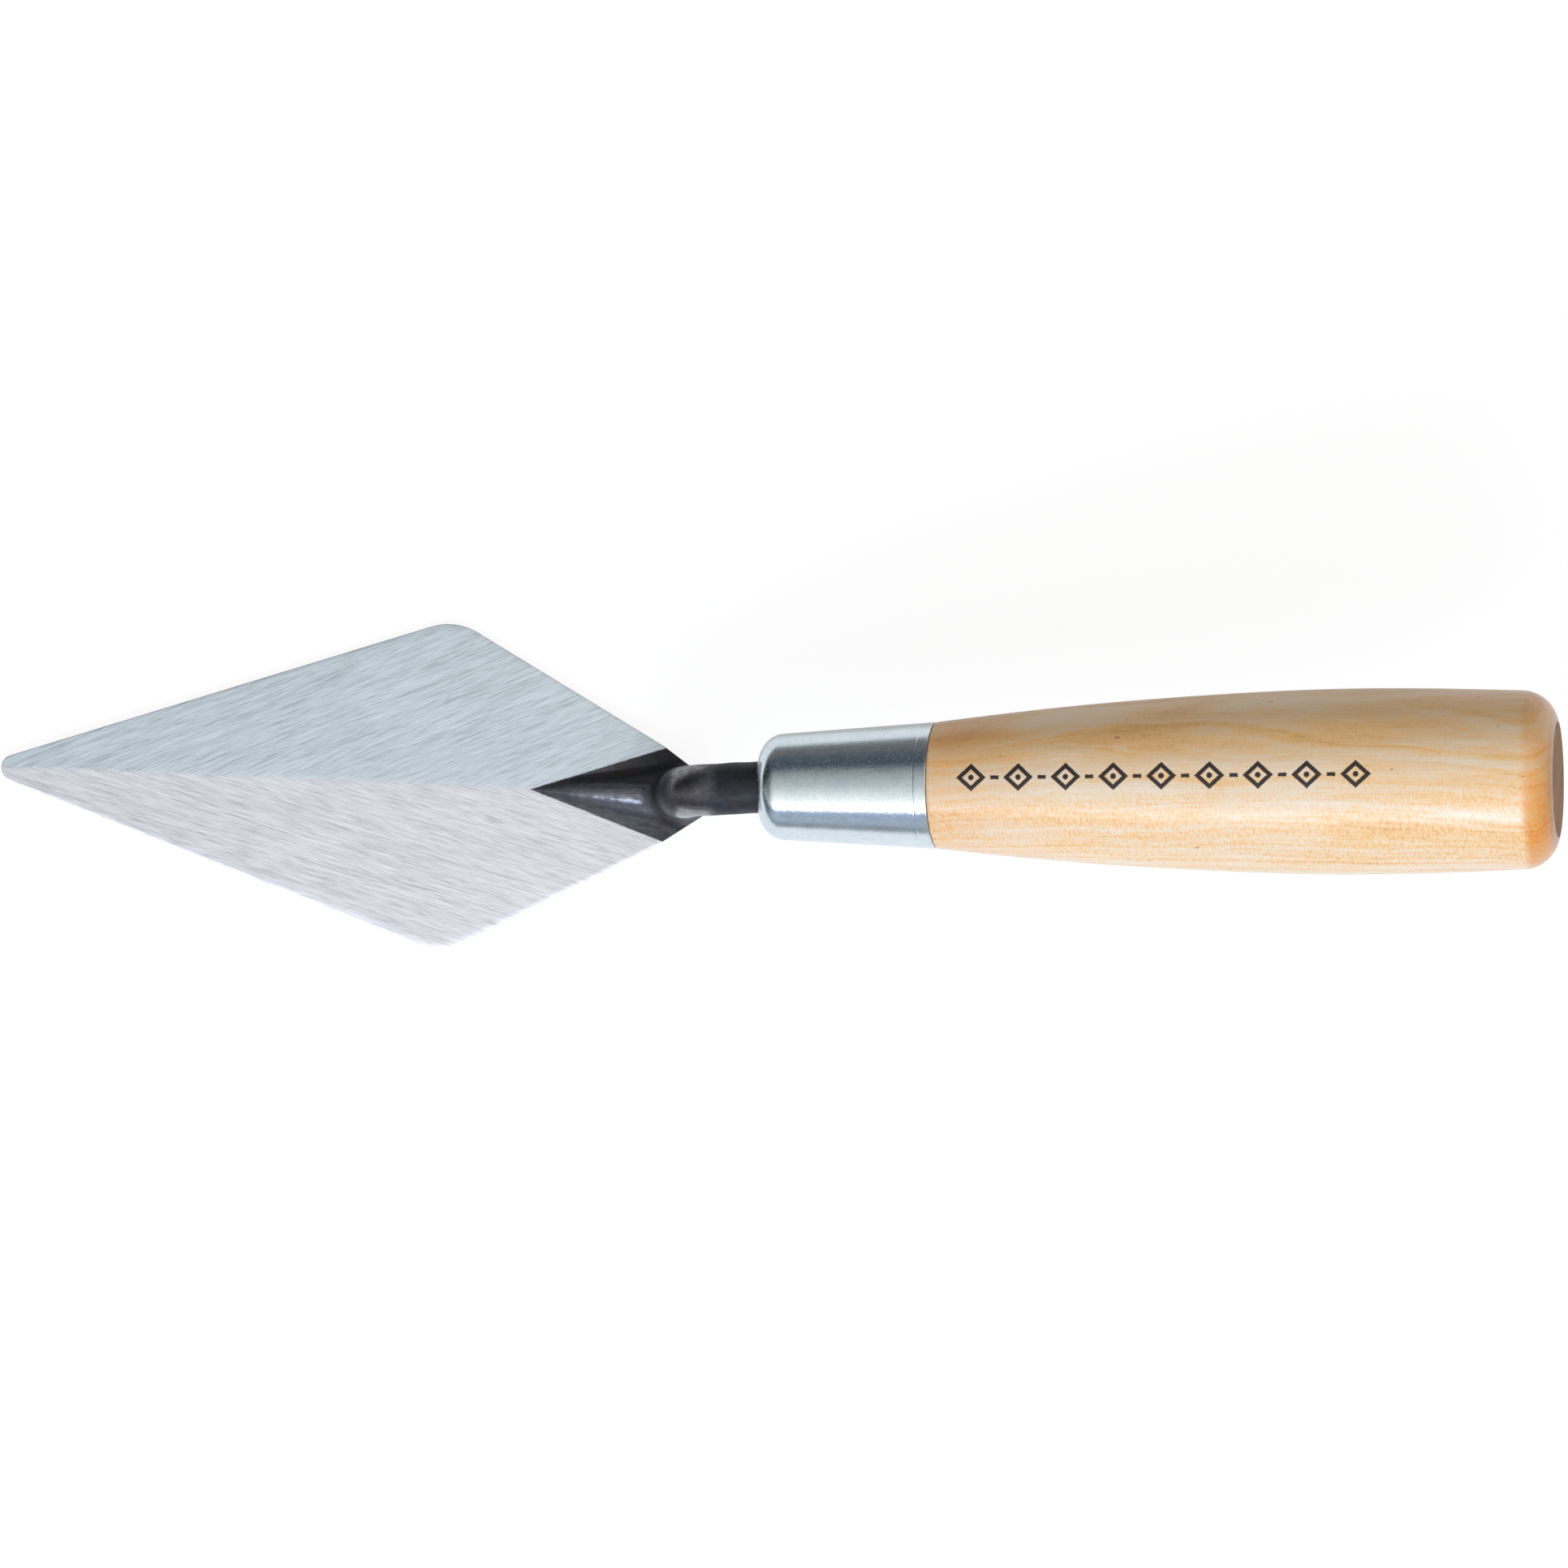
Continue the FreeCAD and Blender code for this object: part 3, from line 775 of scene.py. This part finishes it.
def lacquered_wood():
    """Pale hardwood under clear lacquer, with an ornament burnt in."""
    m = Nodes("lacquered_wood")
    place = m.part_place(FERRULE_FRONT, (0, -LIFT, 0))
    x, y, z = m.split(place)
    # Growth layers: slanted sheets that bow where the grip narrows at its end.
    bow = m.times(m.math("POWER", m.times(m.minus(x, 92.0), 1 / 45.0), 2.0), 2.4)
    sway = m.noise(m.stretched(place, (40.0, 7.0, 7.0)), 1.0, 2.0, 0.5)
    depth = m.blend((y, 0.80), (z, 0.55), (bow, 1.0), (sway, 5.0))
    layer = m.noise(m.join(m.times(x, 0.006), m.times(depth, 0.75), 0.0), 1.0, 4.0, 0.62)
    fibre = m.noise(m.stretched(place, (7.0, 0.22, 0.22)), 1.0, 3.0, 0.6)
    # Rays: short ticks across the grain, strongest on the face towards -Y.
    tick = m.noise(m.stretched(place, (0.34, 0.95, 0.95), 8.0), 1.0, 2.0, 0.6)
    rays = m.times(m.minus(tick, 0.5), m.smooth(y, -6.0, 4.0, 1.0, 0.35))
    patch = m.noise(m.stretched(place, (26.0, 5.0, 5.0)), 1.0, 2.0, 0.5)
    tone = m.add(m.blend((layer, 0.52), (fibre, 0.20), (patch, 0.28)), m.times(rays, 0.46))
    # Painted shade: the tone drops towards +Y, so that side of the grip is darker and more orange.
    tone = m.minus(tone, m.smooth(y, 3.0, 15.0, 0.0, 0.09))
    wood = m.ramp(tone, [
        (0.30, linear(219, 162, 97)),
        (0.44, linear(240, 195, 136)),
        (0.54, linear(235, 211, 180)),
        (0.72, linear(237, 226, 210)),
    ])
    # Lacquer sinks into the end of the grip and darkens it to honey.
    near_end = m.smooth(m.add(x, m.times(patch, 3.0)), 138.2, 140.2)
    sunk = m.times(near_end, m.smooth(y, -8.0, 8.0, 1.0, 0.45))
    honey = m.add(sunk, m.smooth(x, 32.0, 58.0, 0.30, 0.0))
    wood = m.mix(honey, wood, m.mix(1.0, wood, linear(241, 198, 134), "MULTIPLY"))
    # The last millimetre before the butt blends towards its brown: partly end grain colour, partly
    # painted shade where the rounding turns away from the light.
    edge = m.smooth(x, HANDLE_END - 1.1, HANDLE_END, 0.0, 0.6)
    wood = m.mix(edge, wood, linear(150, 108, 74))
    knots = m.smooth(m.noise(m.stretched(place, (1.6, 0.8, 0.8)), 0.55, 1.0, 0.4), 0.775, 0.81)
    wood = m.mix(m.times(knots, 0.6), wood, linear(150, 92, 50))
    burnt = ornament(m, x, y, z)
    wood = m.mix(m.times(burnt, 0.98), wood, linear(26, 12, 9))
    height = m.minus(m.blend((fibre, 0.10), (tick, 0.08), (patch, 3.5)), m.times(burnt, 0.9))
    m.shader.inputs["Specular IOR Level"].default_value = 0.12
    m.shader.inputs["Coat Weight"].default_value = 1.0
    m.shader.inputs["Coat Roughness"].default_value = 0.30
    rough = m.math("MULTIPLY_ADD", tone, 0.2, 0.38)
    return m.set(Base_Color=wood, Roughness=rough, Normal=m.bump(height, 0.00008))


def end_grain_and_shade():
    """The butt: bare end grain, where the lathe's last cut took the lacquer off; its darker brown
    is partly the end grain's own colour and partly painted shade where the butt faces away from the
    light.
    """
    m = Nodes("end_grain_and_shade")
    place = m.part_place(FERRULE_FRONT, (0, -LIFT, 0))
    x, y, z = m.split(place)
    ring = m.noise(m.join(0.0, m.blend((y, 0.45), (z, 0.31)), m.times(z, 0.05)), 1.0, 4.0, 0.7)
    pores = m.noise(place, 4.5, 3.0, 0.7)
    tone = m.blend((ring, 0.7), (pores, 0.3))
    # Darker brown than the grip: partly the end grain's own colour, partly painted shade where the
    # butt faces away from the light.
    colour = m.ramp(tone, [
        (0.34, linear(126, 88, 58)),
        (0.52, linear(158, 118, 82)),
        (0.68, linear(182, 143, 104)),
    ])
    m.shader.inputs["Specular IOR Level"].default_value = 0.15
    rough = m.math("MULTIPLY_ADD", pores, 0.3, 0.5)
    return m.set(Base_Color=colour, Roughness=rough, Normal=m.bump(tone, 0.00005))


def resin():
    """The amber resin round the tang, inside the handle."""
    m = Nodes("cured_resin")
    cloud = m.noise(m.part_place(FERRULE_FRONT, (0, -LIFT, 0)), 0.4, 3.0)
    colour = m.ramp(cloud, [(0.3, (0.36, 0.27, 0.12)), (0.7, (0.50, 0.40, 0.20))])
    return m.set(Base_Color=colour, Roughness=0.35)


# ------------------------------------------------------------ the stage

# The room's light by its direction across the tool, in degrees from overhead
# towards -Y: dark far wall on the left, bright ceiling, dim near wall.
ROOM = [
    (-90, 0.18, 0.175, 0.18), (-81, 0.16, 0.16, 0.17), (-71, 0.104, 0.114, 0.134),
    (-60, 0.08, 0.10, 0.125), (-50, 0.065, 0.083, 0.105), (-43, 0.11, 0.13, 0.155),
    (-34, 0.27, 0.285, 0.30), (-25, 0.39, 0.405, 0.40), (-15, 0.50, 0.53, 0.53),
    (-6, 0.59, 0.61, 0.63), (3, 0.70, 0.72, 0.74), (12, 0.87, 0.88, 0.895),
    (21, 1.04, 1.04, 1.05), (30, 1.20, 1.18, 1.20), (40, 1.40, 1.40, 1.40),
    (54, 1.40, 1.40, 1.45), (58, 0.45, 0.50, 0.66), (67, 0.40, 0.455, 0.62),
    (77, 0.46, 0.52, 0.61), (90, 0.40, 0.45, 0.55),
]


def seen_or_lit(tree, seen, lit, out):
    """The camera sees one shader, and everything else is lit by the other, so
    the backdrop stays white while the tool reflects a room."""
    mix = tree.nodes.new("ShaderNodeMixShader")
    rays = tree.nodes.new("ShaderNodeLightPath")
    tree.links.new(rays.outputs["Is Camera Ray"], mix.inputs[0])
    tree.links.new(lit, mix.inputs[1])
    tree.links.new(seen, mix.inputs[2])
    tree.links.new(mix.outputs[0], out.inputs["Surface"])


def studio_floor():
    """A plain floor just under the blade, brightest round the tool."""
    reach, level = 9000, -0.3
    corners = ((-reach, -reach), (reach, -reach), (reach, reach), (-reach, reach))
    verts = [(x, y, level) for x, y in corners]
    floor = add_mesh("studio_floor", verts, [(0, 1, 2, 3)], smooth=False)
    m = Nodes("floor_white")
    place = m.part_place((0, 0, 0), (0, 0, 0))
    x, y, z = m.split(place)
    grain = m.noise(place, 0.05, 2.0)
    near = m.math("MAXIMUM", m.math("ABSOLUTE", y), m.times(m.math("ABSOLUTE", x), 0.6))
    white = m.times(m.smooth(near, 100.0, 260.0, 0.96, 0.28), m.smooth(grain, 0.0, 1.0, 0.98, 1.02))
    table = m.set(Base_Color=m.join(white, white, white), Roughness=0.9)
    glow = m.node("ShaderNodeEmission")
    glow.inputs["Strength"].default_value = 0.90
    veil = m.node("ShaderNodeBsdfDiffuse")
    veil.inputs["Color"].default_value = (0.12, 0.12, 0.12, 1.0)
    both = m.node("ShaderNodeAddShader")
    m.put(both.inputs[0], glow.outputs[0])
    m.put(both.inputs[1], veil.outputs[0])
    seen_or_lit(m.tree, both.outputs[0], m.shader.outputs[0], m.tree.nodes["Material Output"])
    floor.data.materials.append(table)


def studio_room():
    """The room of the ROOM table, dimmer towards both ends of the tool."""
    world = bpy.data.worlds.new("studio")
    world.use_nodes = True
    bpy.context.scene.world = world
    tree = world.node_tree
    nodes, links = tree.nodes, tree.links

    def maths(operation, a, b, c=None):
        made = nodes.new("ShaderNodeMath")
        made.operation = operation
        for socket, value in zip(made.inputs, (a, b, c)):
            if isinstance(value, bpy.types.NodeSocket):
                links.new(value, socket)
            elif value is not None:
                socket.default_value = value
        return made.outputs[0]

    place = nodes.new("ShaderNodeTexCoord")
    parts = nodes.new("ShaderNodeSeparateXYZ")
    links.new(place.outputs["Generated"], parts.inputs[0])
    x, y, z = parts.outputs
    turn = maths("ARCTAN2", maths("MULTIPLY", y, -1.0), z)
    share = maths("MULTIPLY_ADD", turn, 1 / math.pi, 0.5)
    ramp = nodes.new("ShaderNodeValToRGB")
    while len(ramp.color_ramp.elements) < len(ROOM):
        ramp.color_ramp.elements.new(0.5)
    for element, (angle, *colour) in zip(ramp.color_ramp.elements, ROOM):
        element.position = (angle + 90) / 180
        element.color = tuple(colour) + (1.0,)
    links.new(share, ramp.inputs[0])
    ends = nodes.new("ShaderNodeMapRange")
    ends.interpolation_type = "SMOOTHSTEP"
    for socket, value in zip(list(ends.inputs)[1:5], (0.5, 0.88, 1.0, 0.28)):
        socket.default_value = value
    links.new(maths("ABSOLUTE", x, 0.0), ends.inputs[0])
    room = nodes["Background"]
    links.new(ramp.outputs[0], room.inputs[0])
    links.new(ends.outputs[0], room.inputs[1])
    white = nodes.new("ShaderNodeBackground")
    seen_or_lit(tree, white.outputs[0], room.outputs[0], nodes["World Output"])
    white.inputs[0].default_value = (1, 1, 1, 1)


def softbox(name, place, back, size_x, size_y, radiance, colour):
    """A soft light at a place, with its back turned to a direction."""
    data = bpy.data.lights.new(name, "AREA")
    data.shape = "RECTANGLE"
    data.size, data.size_y = size_x, size_y
    data.energy = radiance * math.pi * size_x * size_y
    data.color = colour
    obj = bpy.data.objects.new(name, data)
    obj.location = place
    obj.rotation_euler = Vector(back).to_track_quat("Z", "Y").to_euler()
    bpy.context.scene.collection.objects.link(obj)


def camera():
    """Looks straight down from 1.3 m, turned a little to match the photograph."""
    data = bpy.data.cameras.new("camera")
    data.sensor_width = 36.0
    data.lens = 162.7
    data.clip_start, data.clip_end = 0.05, 40.0
    obj = bpy.data.objects.new("camera", data)
    obj.location = (0.0178, 0.0005, 1.300)
    obj.rotation_euler = (0, 0, math.radians(-0.54))
    bpy.context.scene.collection.objects.link(obj)
    bpy.context.scene.camera = obj


# --------------------------------------------------------------- assembly


def show(piece, material, node):
    """Puts a piece in the place of a CAD node."""
    piece.data.materials.append(material)
    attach(piece, "root")
    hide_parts(node)


def paint_butt(grip):
    """Gives the flat of the butt the second material."""
    along = Vector((math.cos(LIFT), 0, math.sin(LIFT)))
    front = Vector(FERRULE_FRONT) * MM
    for face in grip.data.polygons:
        if (face.center - front).dot(along) > (HANDLE_END - 0.05) * MM:
            face.material_index = 1


def main():
    scale = forge_scale()
    show(blade_plate(), ground_steel(), "blade_forging")
    show(neck_and_spine(), scale, "blade_forging")
    show(tang(), scale, "blade_forging")
    show(ferrule(), zinc_plate(), "ferrule")
    grip = handle()
    show(grip, lacquered_wood(), "handle")
    grip.data.materials.append(end_grain_and_shade())
    paint_butt(grip)
    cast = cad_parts["tang_resin"]
    cast.data.materials.clear()
    cast.data.materials.append(resin())
    studio_floor()
    studio_room()
    softbox("key", (-0.25, -1.14, 1.12), (0, -1.14, 1.12), 1.5, 0.30, 7.0, (0.82, 0.96, 1.2))
    softbox("overhead", (0.40, -0.80, 1.33), (0.40, -0.80, 1.33), 1.0, 0.65, 1.7, (1.0, 0.98, 0.95))
    softbox("fill", (0.85, 0.45, 1.28), (0.85, 0.45, 1.28), 1.2, 1.2, 0.95, (1.0, 0.90, 0.72))
    camera()
    scene = bpy.context.scene
    scene.view_settings.view_transform = "Standard"
    scene.view_settings.look = "None"


main()
